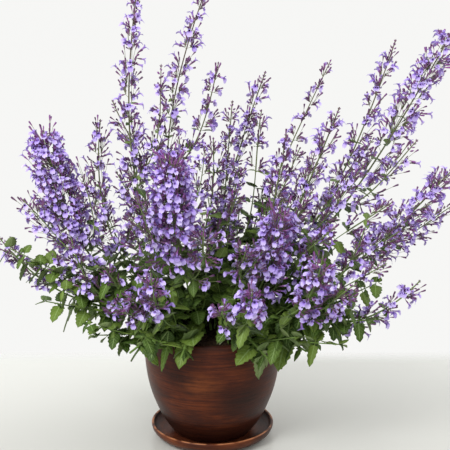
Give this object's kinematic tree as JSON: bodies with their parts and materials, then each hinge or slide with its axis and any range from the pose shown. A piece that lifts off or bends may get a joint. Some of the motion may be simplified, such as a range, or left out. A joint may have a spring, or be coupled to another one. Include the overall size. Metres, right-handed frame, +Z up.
{
  "type": "potted catmint",
  "caption": "Bushy catmint with violet flower spikes on square leafy stems, growing in a rounded, burnished clay pot that stands on its turned clay saucer.",
  "frame": {"origin": "middle of the saucer's flat underside", "axes": "+Z up, +X to the right and -Y to the front, as the picture shows the plant"},
  "size_m": [0.67, 0.4353, 0.66],
  "materials": {
    "pot_clay": "burnished dark red-brown clay with fine turning streaks, smoky patches and a satin sheen",
    "saucer_clay": "the same burnished clay, shiny inside, with a paler worn edge",
    "soil": "dark crumbly potting soil, matte",
    "stems": "green square stems that turn purple-brown upwards, with matte scalloped leaves",
    "leaves": "matte grey-green leaves with paler veins",
    "florets": "soft lavender to violet petals in dark purple calyces, matte"
  },
  "bodies": {
    "root": {"pot": "pot_clay", "saucer": "saucer_clay", "soil": "soil", "spike_01": "florets", "spike_02": "florets", "spike_03": "florets", "spike_04": "florets", "spike_05": "florets", "spike_06": "florets", "spike_07": "florets", "spike_08": "florets", "spike_09": "florets", "spike_10": "florets", "spike_11": "florets", "spike_12": "florets", "spike_13": "florets", "spike_14": "florets", "spike_15": "florets", "spike_16": "florets", "spike_17": "florets", "spike_18": "florets", "spike_19": "florets", "spike_20": "florets", "spike_21": "florets", "spike_22": "florets", "spike_23": "florets", "spike_24": "florets", "stem_01": "stems", "stem_02": "stems", "stem_03": "stems", "stem_04": "stems", "stem_05": "stems", "stem_06": "stems", "stem_07": "stems", "stem_08": "stems", "stem_09": "stems", "stem_10": "stems", "stem_11": "stems", "stem_12": "stems", "stem_13": "stems", "stem_14": "stems", "stem_15": "stems", "stem_16": "stems", "stem_17": "stems", "stem_18": "stems", "stem_19": "stems", "stem_20": "stems", "stem_21": "stems", "stem_22": "stems", "stem_23": "stems", "stem_24": "stems", "shoot_1": "leaves", "shoot_2": "leaves", "shoot_3": "leaves", "shoot_4": "leaves", "shoot_5": "leaves", "shoot_6": "leaves", "shoot_7": "leaves", "shoot_8": "leaves", "shoot_9": "leaves"}
  },
  "joints": []
}
